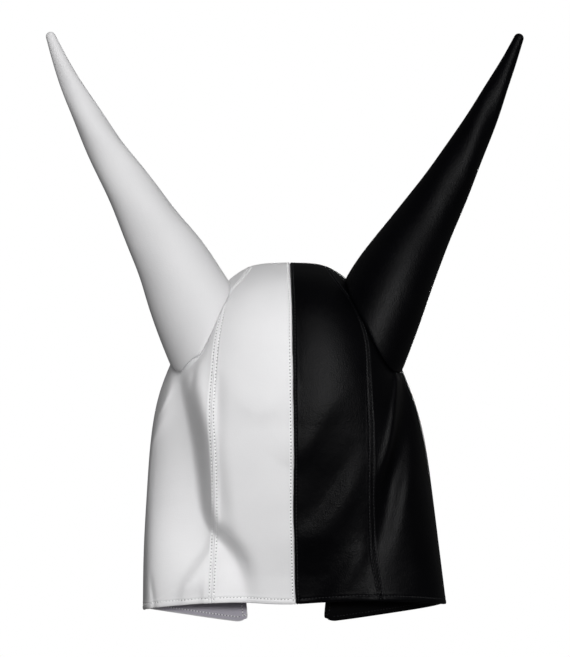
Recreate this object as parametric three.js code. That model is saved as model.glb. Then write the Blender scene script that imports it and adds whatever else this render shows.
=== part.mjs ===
// Horned hood in two colours of leather: a split centre strip that runs from the forehead over the
// crown to the nape, two side panels that wrap round to an open face and end in chin flaps, and a
// stuffed horn sewn high on each side panel.
//
// Frame: millimetres, +Z up, +Y towards the face opening, +X the wearer's right. The origin is where
// the inside of the crown sits on the head.
//
// The hood is drawn on a map of its own surface. A place on the map is a distance from the crown,
// measured down the wall, and an angle round the head (0 at the nape, 90 on the wearer's right, 180 at
// the face). hood() turns a place on the map into a point on the outer face of the leather.

import * as THREE from 'three';

// ---------------------------------------------------------------- sizes, mm
const WALL = 2.0;          // leather and its backing
const CROWN_TOP = WALL;    // outer face of the crown above the head
const SEAM_GAP = 1.0;      // between the edges of neighbouring panels
const HORN_GAP = 0.7;      // between a horn's base and the panel that it is sewn to
const FLAP_CORNER = 6;     // radius of the chin flaps' lower front corners
const FOREHEAD_DROP = 74;  // face opening's upper edge, below the crown
const LOWER_FROM = 100;    // below this drop the levels start to sink towards the face
const TIP_RADIUS = 3.6;    // blunt tip of a horn

const LEATHER_WHITE = { color: 0xe2e1e2, roughness: 0.42, metalness: 0 };
const LEATHER_BLACK = { color: 0x0b0b0d, roughness: 0.38, metalness: 0 };

// Levels of the hood from the crown down: how far below the crown, and how far the wall stands out
// from the middle on the wearer's left, right, back and front. squareLeft and squareRight are the power
// of the outline on each side, 2 for an ellipse.
const LEVELS = [
  { drop: 0.0, left: 0, right: 0, back: 0, front: 0, squareLeft: 2.0, squareRight: 2.0 },
  { drop: 1.6, left: 28, right: 25, back: 30, front: 28, squareLeft: 2.0, squareRight: 2.0 },
  { drop: 5.5, left: 38, right: 34.5, back: 44, front: 41, squareLeft: 2.1, squareRight: 2.0 },
  { drop: 12.5, left: 48, right: 44.5, back: 62, front: 57, squareLeft: 2.4, squareRight: 2.1 },
  { drop: 25, left: 61.5, right: 57.5, back: 80, front: 73, squareLeft: 2.8, squareRight: 2.2 },
  { drop: 42, left: 75.5, right: 70, back: 94, front: 85, squareLeft: 2.9, squareRight: 2.25 },
  { drop: 62, left: 87, right: 81, back: 103, front: 93, squareLeft: 2.85, squareRight: 2.25 },
  { drop: 82, left: 96.5, right: 88, back: 108, front: 97.5, squareLeft: 2.8, squareRight: 2.25 },
  { drop: 105, left: 105, right: 97, back: 110.5, front: 100, squareLeft: 2.8, squareRight: 2.25 },
  { drop: 135, left: 111, right: 105.5, back: 108, front: 101.5, squareLeft: 3.1, squareRight: 2.4 },
  { drop: 175, left: 114.5, right: 111.5, back: 101.5, front: 102.5, squareLeft: 3.6, squareRight: 2.9 },
  { drop: 220, left: 117, right: 117, back: 94.5, front: 104, squareLeft: 4.2, squareRight: 3.4 },
  { drop: 264.5, left: 117.5, right: 122.5, back: 89, front: 106, squareLeft: 4.8, squareRight: 3.8 },
];

// How much lower than the nape the hem hangs, by angle round the head (minus is the wearer's left).
const HEM = [
  { angle: -180, lower: 37.5 },
  { angle: -150, lower: 30.5 },
  { angle: -120, lower: 18.5 },
  { angle: -90, lower: 12.5 },
  { angle: -62, lower: 5.5 },
  { angle: -36, lower: -1.2 },
  { angle: 0, lower: 0 },
  { angle: 36, lower: -3.2 },
  { angle: 62, lower: 2.5 },
  { angle: 90, lower: 8.5 },
  { angle: 120, lower: 18 },
  { angle: 150, lower: 30.5 },
  { angle: 180, lower: 37.5 },
];

// The seams between centre strip and side panels: half width of the strip on each side, at drops
// below the crown, from the nape hem up and then down to the forehead. At the top the seam crosses
// the level whose half width is its own.
const SEAM = [
  { run: 'back', drop: 264.5, left: 64, right: 65.5 },
  { run: 'back', drop: 216, left: 62.5, right: 60 },
  { run: 'back', drop: 171, left: 63.5, right: 59.5 },
  { run: 'back', drop: 110, left: 63, right: 59 },
  { run: 'back', drop: 63, left: 61, right: 55.5 },
  { run: 'back', drop: 31, left: 55, right: 46.5 },
  { run: 'back', drop: 17, left: 45.5, right: 37.5 },
  { run: 'top', drop: 3.6, left: 0, right: 0 },
  { run: 'front', drop: 17, left: 44, right: 38 },
  { run: 'front', drop: 40, left: 49.5, right: 45 },
  { run: 'front', drop: FOREHEAD_DROP, left: 46, right: 43.5 },
];

// Half width of the face opening below the forehead, down to the gap between the flaps.
const FACE = [
  { drop: 81, half: 56 },
  { drop: 98, half: 66 },
  { drop: 128, half: 70 },
  { drop: 165, half: 67 },
  { drop: 200, half: 54 },
  { drop: 234, half: 36.5 },
  { drop: 264.5, half: 32.5 },
];

// Main folds at the back. Each runs down the wall through its rows: a drop below the crown, a distance
// from the middle, how far the leather stands back there (minus is into the hood), and the fold's
// breadth on the left and right of its run.
const FOLDS = {
  stripEdgeLeft: [
    { drop: 71.3, x: -73.5, back: 0.5, left: 5, right: 8 },
    { drop: 99.6, x: -73.9, back: 3, left: 6, right: 8 },
    { drop: 130, x: -67.4, back: 2.5, left: 6, right: 8 },
    { drop: 168.8, x: -64, back: 0, left: 6, right: 8 },
  ],
  tuckLeft: [
    { drop: 85.6, x: -91.7, back: -2, left: 8, right: 6 },
    { drop: 96.9, x: -88.6, back: -8, left: 17, right: 9.5 },
    { drop: 112.1, x: -85.8, back: -16, left: 27, right: 11 },
    { drop: 127.3, x: -82.7, back: -21, left: 38, right: 11 },
    { drop: 157.9, x: -77.8, back: -26, left: 50, right: 13 },
    { drop: 188.9, x: -73.2, back: -25, left: 48, right: 14 },
    { drop: 209.2, x: -66.3, back: -19, left: 38, right: 11 },
    { drop: 223, x: -53.6, back: -16.5, left: 34, right: 9 },
    { drop: 236.5, x: -45.2, back: -14, left: 34, right: 9.5 },
    { drop: 266.7, x: -39, back: -7, left: 34, right: 10 },
  ],
  drapeLeft: [
    { drop: 127.5, x: -109.8, back: 0, left: 5, right: 14 },
    { drop: 179.4, x: -112.1, back: 3.5, left: 4, right: 16 },
    { drop: 235.3, x: -113.1, back: 7, left: 4, right: 18 },
    { drop: 263.7, x: -113.4, back: 8, left: 4, right: 18 },
  ],
  hemFluteLeft: [
    { drop: 215.5, x: -62.1, back: 0, left: 11, right: 13 },
    { drop: 266.8, x: -58.9, back: 3, left: 14, right: 16 },
  ],
  stripEdgeRight: [
    { drop: 69, x: 65.7, back: 0.5, left: 7, right: 4 },
    { drop: 89.2, x: 75.5, back: 5, left: 9, right: 4.5 },
    { drop: 110.6, x: 76, back: 6.5, left: 9, right: 5 },
    { drop: 136.8, x: 71, back: 4.2, left: 9, right: 5 },
    { drop: 168, x: 65.5, back: 1.4, left: 8, right: 5.5 },
    { drop: 185.4, x: 62.5, back: 0, left: 8, right: 6 },
  ],
  tuckRight: [
    { drop: 86.7, x: 87.7, back: -2, left: 6, right: 12 },
    { drop: 98.8, x: 86.2, back: -9, left: 8, right: 19 },
    { drop: 113.2, x: 83, back: -14, left: 9.5, right: 25 },
    { drop: 143.1, x: 75.9, back: -16, left: 10.5, right: 28 },
    { drop: 174.4, x: 70.5, back: -15, left: 11.5, right: 26 },
    { drop: 206, x: 67, back: -11, left: 11, right: 22 },
    { drop: 234.4, x: 60, back: -5, left: 9, right: 17 },
    { drop: 247, x: 56.9, back: 0, left: 8, right: 12 },
  ],
  hollowRight: [
    { drop: 96, x: 54, back: 0, left: 12, right: 12 },
    { drop: 138, x: 32.5, back: -3, left: 12, right: 12 },
    { drop: 172, x: 7.5, back: -3, left: 12, right: 12 },
    { drop: 178, x: 0.5, back: -1, left: 12, right: 12 },
  ],
  slantRight: [
    { drop: 134.9, x: 54, back: 0, left: 8, right: 7 },
    { drop: 165, x: 39.4, back: 2.2, left: 10, right: 8 },
    { drop: 192.6, x: 22, back: 2.4, left: 12, right: 10 },
    { drop: 209.6, x: 0.7, back: 0, left: 10, right: 10 },
  ],
  hemFluteRight: [
    { drop: 217.1, x: 59.8, back: 0, left: 17, right: 11 },
    { drop: 265.6, x: 62.4, back: 6, left: 22, right: 17 },
  ],
};

// Middle line of the horns, from inside the hood to the tip: height above the origin, distance out on
// the left and right, how far forward, and the diameters of the left and right horn there.
const HORN = [
  { z: -104, left: 44, right: 38.5, forward: -46, leftDia: 72, rightDia: 68 },
  { z: -74, left: 58, right: 52, forward: -44, leftDia: 73, rightDia: 70 },
  { z: -45, left: 71.5, right: 63.8, forward: -41, leftDia: 70.5, rightDia: 69.5 },
  { z: -20, left: 83.5, right: 75.2, forward: -36.5, leftDia: 64.5, rightDia: 66 },
  { z: 4.5, left: 95.7, right: 88.2, forward: -31, leftDia: 56.5, rightDia: 58.5 },
  { z: 28, left: 109.4, right: 102.8, forward: -24, leftDia: 47.6, rightDia: 49.5 },
  { z: 52.5, left: 124, right: 117.6, forward: -18.5, leftDia: 40, rightDia: 42 },
  { z: 100.5, left: 152, right: 144, forward: -9, leftDia: 27.4, rightDia: 28.6 },
  { z: 144, left: 175, right: 166, forward: -2.5, leftDia: 17, rightDia: 17.4 },
  { z: 168, left: 185.7, right: 177.2, forward: 1, leftDia: 11.2, rightDia: 11.2 },
  { z: 184.5, left: 192.2, right: 184.4, forward: 3.4, leftDia: 7.4, rightDia: 7.6 },
];

// ---------------------------------------------------------------- how finely the solids are faceted
const STRIP_ROWS = 36, STRIP_COLUMNS = 5;
const SIDE_ROWS = 26, SIDE_COLUMNS = 28;
const HORN_SIDES = 24, HORN_RINGS = 12, HORN_BASE_RINGS = 4;
const FOLD_STEPS = 60;     // points along a fold's run

// ---------------------------------------------------------------- small tools
const rad = THREE.MathUtils.degToRad;
const mix = THREE.MathUtils.lerp;
const smooth = THREE.MathUtils.smoothstep;

// Natural cubic spline through (at, value) pairs.
function spline(at, value) {
  const n = at.length, bend = new Array(n).fill(0), work = new Array(n).fill(0);
  for (let i = 1; i < n - 1; i++) {
    const share = (at[i] - at[i - 1]) / (at[i + 1] - at[i - 1]), p = share * bend[i - 1] + 2;
    bend[i] = (share - 1) / p;
    const jump = (value[i + 1] - value[i]) / (at[i + 1] - at[i]) - (value[i] - value[i - 1]) / (at[i] - at[i - 1]);
    work[i] = (6 * jump / (at[i + 1] - at[i - 1]) - share * work[i - 1]) / p;
  }
  for (let i = n - 2; i >= 0; i--) bend[i] = bend[i] * bend[i + 1] + work[i];
  return (x) => {
    let k = 0;
    while (k < n - 2 && x > at[k + 1]) k++;
    const h = at[k + 1] - at[k], a = (at[k + 1] - x) / h, b = 1 - a;
    return a * value[k] + b * value[k + 1] + ((a ** 3 - a) * bend[k] + (b ** 3 - b) * bend[k + 1]) * h * h / 6;
  };
}

// ---------------------------------------------------------------- the hood's surface
// Distance of each level from the crown, down the wall.
const mean = LEVELS.map((l) => (l.left + l.right + l.back + l.front) / 4);
const reach = [0];
for (let i = 1; i < LEVELS.length; i++)
  reach.push(reach[i - 1] + Math.hypot(mean[i] - mean[i - 1], LEVELS[i].drop - LEVELS[i - 1].drop));
const RIM = reach[reach.length - 1];

// A level's sizes between the rows of the table. The rows are mirrored past the crown, so that the
// crown is round and has no point.
function levelSpline(key, even) {
  const back = [3, 2, 1];
  return spline(
    [...back.map((i) => -reach[i]), ...reach],
    [...back.map((i) => (even ? 1 : -1) * LEVELS[i][key]), ...LEVELS.map((l) => l[key])],
  );
}
const levelOf = {
  drop: levelSpline('drop', true),
  left: levelSpline('left', false),
  right: levelSpline('right', false),
  back: levelSpline('back', false),
  front: levelSpline('front', false),
  squareLeft: levelSpline('squareLeft', true),
  squareRight: levelSpline('squareRight', true),
};
const hemLower = spline(HEM.map((h) => rad(h.angle)), HEM.map((h) => h.lower));

// The distance down the wall at which the hood has dropped by so much.
function reachAt(drop) {
  let low = 0, high = RIM * 1.02;
  for (let i = 0; i < 50; i++) {
    const middle = (low + high) / 2;
    if (levelOf.drop(middle) < drop) low = middle; else high = middle;
  }
  return (low + high) / 2;
}

// Half width and half depth of a level, leaning to the larger side by angle.
function outline(distance, angle) {
  const s = Math.sin(angle), c = Math.cos(angle), m = Math.max(distance, 1e-6);
  const left = levelOf.left(m), right = levelOf.right(m), back = levelOf.back(m), front = levelOf.front(m);
  return {
    wide: (left + right) / 2 + (right - left) / 2 * s,
    deep: (back + front) / 2 + (back - front) / 2 * c,
    power: (levelOf.squareLeft(m) + levelOf.squareRight(m)) / 2 + (levelOf.squareRight(m) - levelOf.squareLeft(m)) / 2 * s,
  };
}
function plainRadius(distance, angle) {
  const { wide, deep, power } = outline(distance, angle);
  return (Math.abs(Math.sin(angle) / wide) ** power + Math.abs(Math.cos(angle) / deep) ** power) ** (-1 / power);
}
// Angle at which a level's wall is at x from the middle, at the back of the head or at the front.
function angleAt(distance, x, atBack) {
  let low = 0, high = Math.PI / 2;
  const turned = (t) => Math.sign(x) * (atBack ? t : Math.PI - t);
  for (let i = 0; i < 50; i++) {
    const middle = (low + high) / 2, angle = turned(middle);
    if (plainRadius(distance, angle) * Math.abs(Math.sin(angle)) < Math.abs(x)) low = middle; else high = middle;
  }
  return turned((low + high) / 2);
}

const onMap = (distance, angle) => new THREE.Vector2(distance * Math.sin(angle), -distance * Math.cos(angle));

// Smooth curve through places on the map, by share of its length.
function mapCurve(places) {
  const at = [0];
  for (let i = 1; i < places.length; i++) at.push(at[i - 1] + places[i].distanceTo(places[i - 1]));
  const x = spline(at, places.map((p) => p.x)), y = spline(at, places.map((p) => p.y)), end = at[at.length - 1];
  return (share) => new THREE.Vector2(x(share * end), y(share * end));
}

// Point of the hood without its folds, from a place on the map, and the way that the wall faces there.
function plain(px, py) {
  const distance = Math.hypot(px, py), angle = Math.atan2(px, -py);
  const radius = plainRadius(distance, angle), drop = levelOf.drop(distance);
  const sunk = hemLower(angle) * smooth(drop, LOWER_FROM, LEVELS[LEVELS.length - 1].drop);
  return new THREE.Vector3(radius * Math.sin(angle), -radius * Math.cos(angle), CROWN_TOP - drop - sunk);
}
function normalOf(surface, px, py) {
  const e = 0.4;
  const across = surface(px + e, py).sub(surface(px - e, py)), along = surface(px, py + e).sub(surface(px, py - e));
  return across.cross(along).normalize();
}

// A fold as close points along its run, each with the way to its left, its height and its breadths.
const foldRuns = Object.values(FOLDS).map((rows) => {
  const run = mapCurve(rows.map((row) => {
    const m = reachAt(row.drop);
    return onMap(m, angleAt(m, row.x, true));
  }));
  const value = (key, t) => {
    const k = Math.min(Math.floor(t * (rows.length - 1)), rows.length - 2);
    return mix(rows[k][key], rows[k + 1][key], t * (rows.length - 1) - k);
  };
  // share of the run's length at which each row stands
  const drops = rows.map((row) => reachAt(row.drop));
  return Array.from({ length: FOLD_STEPS + 1 }, (_, i) => {
    const p = run(i / FOLD_STEPS), e = 0.004;
    const near = run(i / FOLD_STEPS + e), from = run(i / FOLD_STEPS - e);
    const down = THREE.MathUtils.clamp(p.length(), Math.min(...drops), Math.max(...drops));
    let k = 0;
    while (k < rows.length - 2 && down > drops[k + 1]) k++;
    const t = (k + (down - drops[k]) / (drops[k + 1] - drops[k])) / (rows.length - 1);
    const along = plain(near.x, near.y).sub(plain(from.x, from.y)).normalize();
    return { at: plain(p.x, p.y), toLeft: along.cross(normalOf(plain, p.x, p.y)).normalize(), back: value('back', t), left: value('left', t), right: value('right', t) };
  });
});
// How far the folds move the leather back, at a place on the map. They die away where the wall turns
// to the side.
function folded(px, py) {
  const shown = smooth(-normalOf(plain, px, py).y, -0.15, 0.24);
  if (shown <= 0) return 0;
  const p = plain(px, py);
  let back = 0;
  for (const run of foldRuns) {
    let nearest = run[0], least = Infinity;
    for (const step of run) {
      const d = step.at.distanceToSquared(p);
      if (d < least) { least = d; nearest = step; }
    }
    const left = smooth(p.clone().sub(nearest.at).dot(nearest.toLeft), -1.2, 1.2);
    const breadth = mix(nearest.right, nearest.left, left);
    back += nearest.back * Math.exp(-least / breadth ** 2);
  }
  return back * shown;
}

// Point on the outer face of the leather, from a place on the map.
function hood(px, py) {
  const p = plain(px, py);
  p.y -= folded(px, py);
  return p;
}
const hoodNormal = (px, py) => normalOf(hood, px, py);

// ---------------------------------------------------------------- seams and edges on the map
// A gap measured across the leather, as a distance round the map.
const gapOnMap = (gap, distance, angle) => gap * Math.max(1, distance / plainRadius(distance, angle));

const SIDES = { left: -1, right: 1 };
const sides = {};
for (const [side, sign] of Object.entries(SIDES)) {
  const places = SEAM.map((row) => {
    if (row.run === 'top') {
      const m = reachAt(row.drop);
      return onMap(m, sign * Math.PI / 2);
    }
    const m = reachAt(row.drop);
    return onMap(m, angleAt(m, sign * row[side], row.run === 'back'));
  });
  const seam = mapCurve(places);
  // Share of the seam's length at a given distance forward on the map.
  const seamAt = (py) => {
    let low = 0, high = 1;
    for (let i = 0; i < 40; i++) {
      const middle = (low + high) / 2;
      if (seam(middle).y < py) low = middle; else high = middle;
    }
    return (low + high) / 2;
  };
  // Place beside the seam, on its outer side by half a gap, or on its inner side for a minus.
  const beside = (share, half) => {
    const p = seam(share), run = seam(share + 0.002).sub(seam(share - 0.002)).normalize();
    const gap = gapOnMap(half, p.length(), Math.atan2(p.x, -p.y)) * sign;
    return p.add(new THREE.Vector2(run.y * gap, -run.x * gap));
  };
  const foreheadCorner = places[places.length - 1];
  const edge = mapCurve([foreheadCorner, ...FACE.map((row) => {
    const m = reachAt(row.drop);
    return onMap(m, angleAt(m, sign * row.half, false));
  })]);
  const flapAngle = angleAt(RIM, sign * FACE[FACE.length - 1].half, false);
  sides[side] = { sign, seam, seamAt, beside, edge, flapAngle };
}

// Four-sided patch on the map, blended from its edges: top and bottom run along v, first and last
// along u.
function patch(top, bottom, first, last) {
  const c00 = top(0), c01 = top(1), c10 = bottom(0), c11 = bottom(1);
  return (u, v) => {
    const p = top(v).multiplyScalar(1 - u).addScaledVector(bottom(v), u).addScaledVector(first(u), 1 - v).addScaledVector(last(u), v);
    return p.addScaledVector(c00, -(1 - u) * (1 - v)).addScaledVector(c01, -(1 - u) * v).addScaledVector(c10, -u * (1 - v)).addScaledVector(c11, -u * v);
  };
}

// ---------------------------------------------------------------- solids
// Leather wall over a grid of places on the map.
function wall(place, us, vs, turnOver) {
  const rows = us.length, columns = vs.length, points = [], index = [];
  for (const inside of [0, 1])
    for (const u of us)
      for (const v of vs) {
        const p = place(u, v), at = hood(p.x, p.y);
        if (inside) at.addScaledVector(hoodNormal(p.x, p.y), -WALL);
        points.push(at.x, at.y, at.z);
      }
  const id = (inside, i, j) => inside * rows * columns + i * columns + j;
  const face = (a, b, c, d) => (turnOver ? index.push(a, c, b, a, d, c) : index.push(a, b, c, a, c, d));
  for (let i = 0; i + 1 < rows; i++)
    for (let j = 0; j + 1 < columns; j++) {
      face(id(0, i, j), id(0, i + 1, j), id(0, i + 1, j + 1), id(0, i, j + 1));
      face(id(1, i, j), id(1, i, j + 1), id(1, i + 1, j + 1), id(1, i + 1, j));
    }
  for (let i = 0; i + 1 < rows; i++) {
    face(id(0, i + 1, 0), id(0, i, 0), id(1, i, 0), id(1, i + 1, 0));
    face(id(0, i, columns - 1), id(0, i + 1, columns - 1), id(1, i + 1, columns - 1), id(1, i, columns - 1));
  }
  for (let j = 0; j + 1 < columns; j++) {
    face(id(0, 0, j), id(0, 0, j + 1), id(1, 0, j + 1), id(1, 0, j));
    face(id(0, rows - 1, j + 1), id(0, rows - 1, j), id(1, rows - 1, j), id(1, rows - 1, j + 1));
  }
  return new THREE.BufferGeometry()
    .setAttribute('position', new THREE.Float32BufferAttribute(points, 3))
    .setIndex(index);
}
const steps = (n, shape = (t) => t) => Array.from({ length: n + 1 }, (_, i) => shape(i / n));

// Half of the centre strip: nape hem (u 0) to forehead (u 1), centre seam (v 0) to side seam (v 1).
function centrePanel({ sign, seam, seamAt, beside }) {
  const crownShare = RIM / (RIM + reachAt(FOREHEAD_DROP)), front = reachAt(FOREHEAD_DROP);
  const half = SEAM_GAP / 2, seamBack = seam(0).y, seamFront = seam(1).y;
  const forward = (u, back, ahead) => (u < crownShare ? mix(back, 0, u / crownShare) : mix(0, ahead, (u - crownShare) / (1 - crownShare)));
  const centre = (u) => {
    const y = forward(u, -RIM, front);
    return new THREE.Vector2(sign * gapOnMap(half, Math.abs(y) + 1, y < 0 ? 0 : Math.PI), y);
  };
  const side = (u) => beside(seamAt(forward(u, seamBack, seamFront)), -half);
  const arc = (from, to) => {
    const m0 = from.length(), m1 = to.length(), a0 = Math.atan2(from.x, -from.y), a1 = Math.atan2(to.x, -to.y);
    return (v) => onMap(mix(m0, m1, v), mix(a0, a1, v));
  };
  const nape = arc(centre(0), side(0)), forehead = arc(centre(1), side(1));
  return wall(patch(nape, forehead, centre, side), steps(STRIP_ROWS), steps(STRIP_COLUMNS), sign > 0);
}

// Side panel: top along the upper side seam (u 0) to the hem (u 1), back seam (v 0) to face (v 1).
function sidePanel({ sign, seamAt, beside, edge, flapAngle }) {
  const half = SEAM_GAP / 2;
  const backTop = seamAt(-78), frontTop = seamAt(62);
  const cornerShare = 0.22;                     // share of the face side that is seam
  const top = (v) => beside(mix(backTop, frontTop, v), half);
  const back = (u) => beside(mix(backTop, 0, u), half);
  // The flap's corner is rounded on the map, where a step round the head is longer than on the hood.
  const stretch = RIM / plainRadius(RIM, flapAngle);
  const face = (u) => {
    if (u < cornerShare) return beside(mix(frontTop, 1, u / cornerShare), half);
    const w = (u - cornerShare) / (1 - cornerShare), p = edge(w), m = p.length();
    const into = Math.max(0, 1 - (RIM - m) / FLAP_CORNER);
    const cut = FLAP_CORNER * (1 - Math.sqrt(Math.max(0, 1 - into * into))) * 0.3;
    const a = Math.atan2(p.x, -p.y) - sign * cut * stretch / RIM;
    return onMap(m - (w >= 1 ? 0.3 * FLAP_CORNER : 0) * 1, a);
  };
  const hemStart = back(1), startAngle = Math.atan2(hemStart.x, -hemStart.y);
  const flap = face(1), endAngle = Math.atan2(flap.x, -flap.y);
  const hem = (v) => {
    const a = mix(startAngle, endAngle, v), left = Math.abs(endAngle - a) * RIM / stretch;
    const into = Math.max(0, 1 - left / FLAP_CORNER);
    return onMap(mix(hemStart.length(), RIM, Math.min(1, v * 4)) - 0.3 * FLAP_CORNER * into * into, a);
  };
  const denser = (t) => 0.55 * t + 0.45 * t * t;  // more columns at the back, where the folds are
  const place = patch(top, hem, back, face);
  const above = 7;                              // rows above the corner of the forehead
  const us = [...steps(above, (t) => t * cornerShare), ...steps(SIDE_ROWS - above, (t) => cornerShare + (1 - cornerShare) * t).slice(1)];
  return wall(place, us, steps(SIDE_COLUMNS, denser), sign < 0);
}

// How far outside the hood a point is, measured level, for the part of the hood above LOWER_FROM. The
// fold is taken away again, and the point measured from the plain wall.
function outside(p) {
  if (p.z > CROWN_TOP) return 1e3;
  const m = reachAt(Math.max(0.01, CROWN_TOP - p.z));
  let back = 0, radius = 0;
  for (let i = 0; i < 4; i++) {
    const angle = Math.atan2(p.x, -(p.y + back)), place = onMap(m, angle);
    radius = plainRadius(m, angle);
    back = 0.3 * back + 0.7 * folded(place.x, place.y);
  }
  return Math.hypot(p.x, p.y + back) - radius;
}

// Stuffed horn: rings round its middle line from the panel to the tip, closed by a base that follows
// the panel.
function horn(side, sign) {
  const at = HORN.map((row) => row.z), end = at[at.length - 1];
  const out = spline(at, HORN.map((row) => sign * row[side])), forward = spline(at, HORN.map((row) => row.forward)), dia = spline(at, HORN.map((row) => row[side + 'Dia']));
  const middle = (z) => new THREE.Vector3(out(z), forward(z), z);
  const ring = (z, turn, share = 1) => {
    const axis = middle(z + 0.5).sub(middle(z - 0.5)).normalize();
    const ahead = new THREE.Vector3(0, 1, 0).addScaledVector(axis, -axis.y).normalize();
    const beside = new THREE.Vector3().crossVectors(ahead, axis);
    const r = share * dia(z) / 2;
    return middle(z).addScaledVector(beside, r * Math.cos(turn)).addScaledVector(ahead, r * Math.sin(turn));
  };
  // Height on the middle line at which a line down the horn meets the panel.
  const lowest = (turn, share) => {
    let low = at[0], high = 60;
    for (let i = 0; i < 44; i++) {
      const z = (low + high) / 2, p = ring(z, turn, share);
      if (outside(p) < HORN_GAP * 1.4) low = z; else high = z;
    }
    return (low + high) / 2;
  };
  const points = [], index = [], turns = steps(HORN_SIDES, (t) => t * 2 * Math.PI).slice(0, HORN_SIDES);
  const put = (p) => points.push(p.x, p.y, p.z) / 3 - 1;
  const rows = [];
  const base = put(ring(lowest(0, 0), 0, 0));
  for (let k = 1; k < HORN_BASE_RINGS; k++)
    rows.push(turns.map((t) => put(ring(lowest(t, k / HORN_BASE_RINGS), t, k / HORN_BASE_RINGS))));
  const foot = turns.map((t) => lowest(t, 1)), blunt = end - TIP_RADIUS * 0.4;
  for (let k = 0; k <= HORN_RINGS; k++)
    rows.push(turns.map((t, j) => put(ring(mix(foot[j], blunt, (k / HORN_RINGS) ** 0.9), t))));
  const axis = middle(end).sub(middle(end - 1)).normalize();
  for (const [share, rise] of [[0.9, 0.45], [0.62, 0.8]])
    rows.push(turns.map((t) => put(ring(blunt, t, share).addScaledVector(axis, rise * TIP_RADIUS))));
  const tip = put(middle(blunt).addScaledVector(axis, TIP_RADIUS));
  const face = (a, b, c) => index.push(a, c, b);
  for (let j = 0; j < HORN_SIDES; j++) {
    const n = (j + 1) % HORN_SIDES;
    face(base, rows[0][j], rows[0][n]);
    for (let k = 0; k + 1 < rows.length; k++) {
      face(rows[k][j], rows[k + 1][j], rows[k + 1][n]);
      face(rows[k][j], rows[k + 1][n], rows[k][n]);
    }
    face(rows[rows.length - 1][j], tip, rows[rows.length - 1][n]);
  }
  return new THREE.BufferGeometry()
    .setAttribute('position', new THREE.Float32BufferAttribute(points, 3))
    .setIndex(index);
}

// ---------------------------------------------------------------- assembly
const hat = new THREE.Group();
const white = new THREE.MeshStandardMaterial(LEATHER_WHITE), black = new THREE.MeshStandardMaterial(LEATHER_BLACK);
function add(name, geometry, material) {
  geometry.computeVertexNormals();
  const mesh = new THREE.Mesh(geometry, material.clone());
  mesh.name = name;
  hat.add(mesh);
}
for (const [side, facts] of Object.entries(sides)) {
  const leather = side === 'left' ? white : black;
  add('centre_panel_' + side, centrePanel(facts), leather);
  add('side_panel_' + side, sidePanel(facts), leather);
  add('horn_' + side, horn(side, facts.sign), leather);
}

export default hat;
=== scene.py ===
import math

import bpy
import numpy as np
from mathutils import Matrix


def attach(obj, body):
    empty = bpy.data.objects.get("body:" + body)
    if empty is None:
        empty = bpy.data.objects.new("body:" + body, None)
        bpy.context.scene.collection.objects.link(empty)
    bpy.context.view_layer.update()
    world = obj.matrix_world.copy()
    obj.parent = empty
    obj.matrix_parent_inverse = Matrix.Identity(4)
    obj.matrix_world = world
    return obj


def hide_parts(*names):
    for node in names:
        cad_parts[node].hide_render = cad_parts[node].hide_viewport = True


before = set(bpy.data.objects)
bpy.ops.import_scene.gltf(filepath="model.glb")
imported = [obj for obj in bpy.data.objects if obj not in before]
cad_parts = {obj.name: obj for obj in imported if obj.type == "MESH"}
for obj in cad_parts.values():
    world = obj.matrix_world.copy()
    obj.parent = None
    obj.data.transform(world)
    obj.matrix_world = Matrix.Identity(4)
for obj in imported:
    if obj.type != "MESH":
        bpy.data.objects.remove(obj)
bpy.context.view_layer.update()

# Horned hood in black and white leather. The panels are drawn on the same map of the hood's surface as
# the solids of the frame, in millimetres, with finer folds, sewn seams and turned hems, and go into
# Blender in metres.
MM = 0.001

# ------------------------------------------------------------------ sizes of the hood, mm
WALL = 2.0
CROWN_TOP = WALL
FLAP_CORNER = 6.0
FOREHEAD_DROP = 74.0
LOWER_FROM = 100.0
JOIN = 0.06                 # half of the gap that is left at a sewn seam

# drop below the crown, reach of the wall to the left, right, back and front, power of the outline on the left and right
LEVELS = np.array([
    [0.0, 0, 0, 0, 0, 2.0, 2.0],
    [1.6, 28, 25, 30, 28, 2.0, 2.0],
    [5.5, 38, 34.5, 44, 41, 2.1, 2.0],
    [12.5, 48, 44.5, 62, 57, 2.4, 2.1],
    [25, 61.5, 57.5, 80, 73, 2.8, 2.2],
    [42, 75.5, 70, 94, 85, 2.9, 2.25],
    [62, 87, 81, 103, 93, 2.85, 2.25],
    [82, 96.5, 88, 108, 97.5, 2.8, 2.25],
    [105, 105, 97, 110.5, 100, 2.8, 2.25],
    [135, 111, 105.5, 108, 101.5, 3.1, 2.4],
    [175, 114.5, 111.5, 101.5, 102.5, 3.6, 2.9],
    [220, 117, 117, 94.5, 104, 4.2, 3.4],
    [264.5, 117.5, 122.5, 89, 106, 4.8, 3.8],
])
# angle round the head, how much lower than the nape the hem hangs there
HEM = np.array([
    [-180, 37.5], [-150, 30.5], [-120, 18.5], [-90, 12.5], [-62, 5.5], [-36, -1.2], [0, 0],
    [36, -3.2], [62, 2.5], [90, 8.5], [120, 18], [150, 30.5], [180, 37.5],
])
# run of the seam, drop below the crown, half width of the centre strip on the left and right
SEAM = [
    ("back", 264.5, 64, 65.5),
    ("back", 216, 62.5, 60),
    ("back", 171, 63.5, 59.5),
    ("back", 110, 63, 59),
    ("back", 63, 61, 55.5),
    ("back", 31, 55, 46.5),
    ("back", 17, 45.5, 37.5),
    ("top", 3.6, 0, 0),
    ("front", 17, 44, 38),
    ("front", 40, 49.5, 45),
    ("front", FOREHEAD_DROP, 46, 43.5),
]
# drop below the crown, half width of the face opening
FACE = [(81, 56), (98, 66), (128, 70), (165, 67), (200, 54), (234, 36.5), (264.5, 32.5)]
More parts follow.
